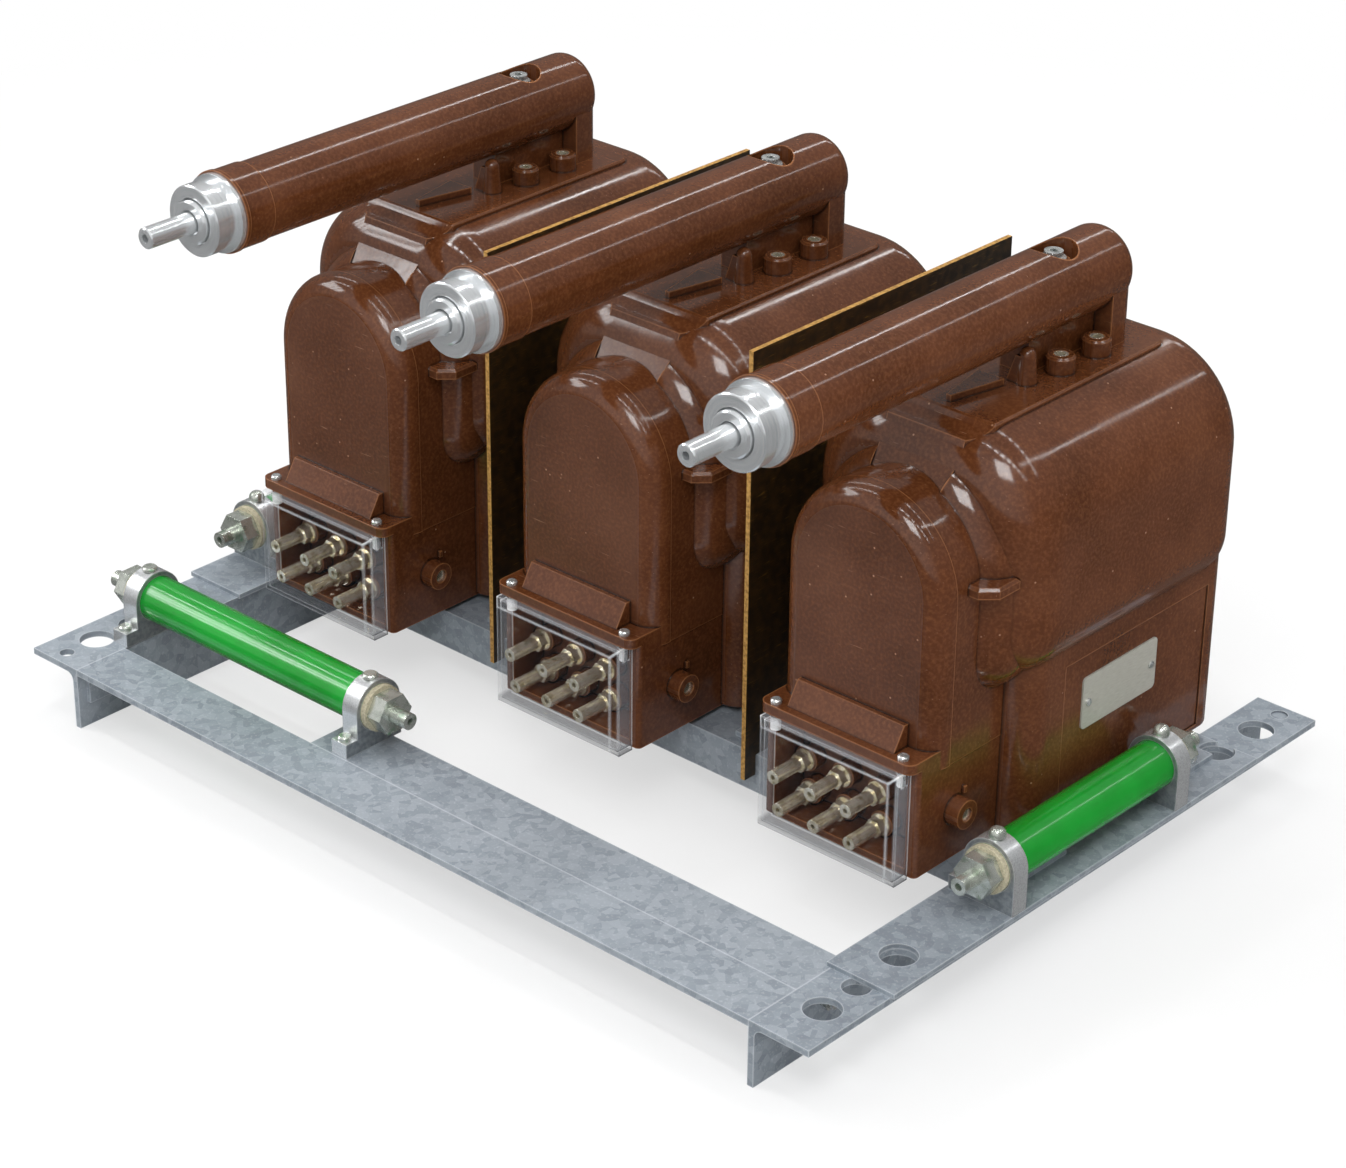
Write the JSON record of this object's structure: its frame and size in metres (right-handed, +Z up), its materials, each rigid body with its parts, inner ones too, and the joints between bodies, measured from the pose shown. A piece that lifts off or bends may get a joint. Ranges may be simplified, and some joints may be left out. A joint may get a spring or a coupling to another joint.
{
  "type": "voltage transformer",
  "caption": "Row of cast-resin voltage transformers with fuse tubes, clear-covered terminal boxes, barrier plates and green tubular resistors on a galvanised angle frame.",
  "frame": {"origin": "middle of the box's underside, on the plane that the side rails' legs stand on", "axes": "+X along the row of units, +Z up; the terminal boxes and contact spindles face -Y"},
  "size_m": [0.615, 0.454, 0.3512],
  "materials": {
    "cast_resin": "glossy cast epoxy resin",
    "machined_aluminium": "bright, turned",
    "cast_aluminium": "cast, brushed edges",
    "fuse_ceramic": "plain",
    "clear_cover": "clear, polished",
    "plated_brass": "nickel plated, worn to gold",
    "zinc_fasteners": "bright zinc plated",
    "plate_metal": "satin, bare",
    "galvanised_steel": "hot-dip galvanised, mottled",
    "laminate": "dark fibre laminate",
    "green_enamel": "glossy enamel",
    "cream_ceramic": "matte"
  },
  "bodies": {
    "root": {"barrier_cleats": "galvanised_steel", "barrier_plate_left": "laminate", "barrier_plate_right": "laminate", "barrier_screws": "zinc_fasteners", "base_inserts": "plated_brass", "base_spacers": "zinc_fasteners", "bracket_screws": "zinc_fasteners", "cast_body_left": "cast_resin", "cast_body_middle": "cast_resin", "cast_body_right": "cast_resin", "ceramic_washers": "cream_ceramic", "contact_hub_left": "machined_aluminium", "contact_hub_middle": "machined_aluminium", "contact_hub_right": "machined_aluminium", "contact_ring_left": "machined_aluminium", "contact_ring_middle": "machined_aluminium", "contact_ring_right": "machined_aluminium", "contact_spindle_left": "machined_aluminium", "contact_spindle_middle": "machined_aluminium", "contact_spindle_right": "machined_aluminium", "cover_screws": "zinc_fasteners", "front_strip": "galvanised_steel", "fuse_cartridge_left": "fuse_ceramic", "fuse_cartridge_middle": "fuse_ceramic", "fuse_cartridge_right": "fuse_ceramic", "fuse_housing_left": "cast_resin", "fuse_housing_middle": "cast_resin", "fuse_housing_right": "cast_resin", "lug_bolts": "zinc_fasteners", "lug_washers": "zinc_fasteners", "nameplate": "plate_metal", "nameplate_rivets": "zinc_fasteners", "overlay_strip_left": "galvanised_steel", "overlay_strip_right": "galvanised_steel", "rail_bolts": "zinc_fasteners", "rail_nuts": "zinc_fasteners", "rear_strip": "galvanised_steel", "resistor_brackets": "cast_aluminium", "resistor_front": "green_enamel", "resistor_left": "green_enamel", "resistor_nuts": "zinc_fasteners", "resistor_right": "green_enamel", "resistor_studs": "zinc_fasteners", "side_inserts": "plated_brass", "side_rail_left": "galvanised_steel", "side_rail_right": "galvanised_steel", "strip_bolts": "zinc_fasteners", "strip_cleats": "galvanised_steel", "strip_nuts": "zinc_fasteners", "support_rail_front": "galvanised_steel", "support_rail_rear": "galvanised_steel", "terminal_cover_left": "clear_cover", "terminal_cover_middle": "clear_cover", "terminal_cover_right": "clear_cover", "terminal_nuts": "plated_brass", "terminal_studs": "plated_brass", "terminal_washers": "plated_brass", "top_inserts": "plated_brass", "unit_bolts": "zinc_fasteners", "unit_washers": "zinc_fasteners"}
  },
  "joints": []
}
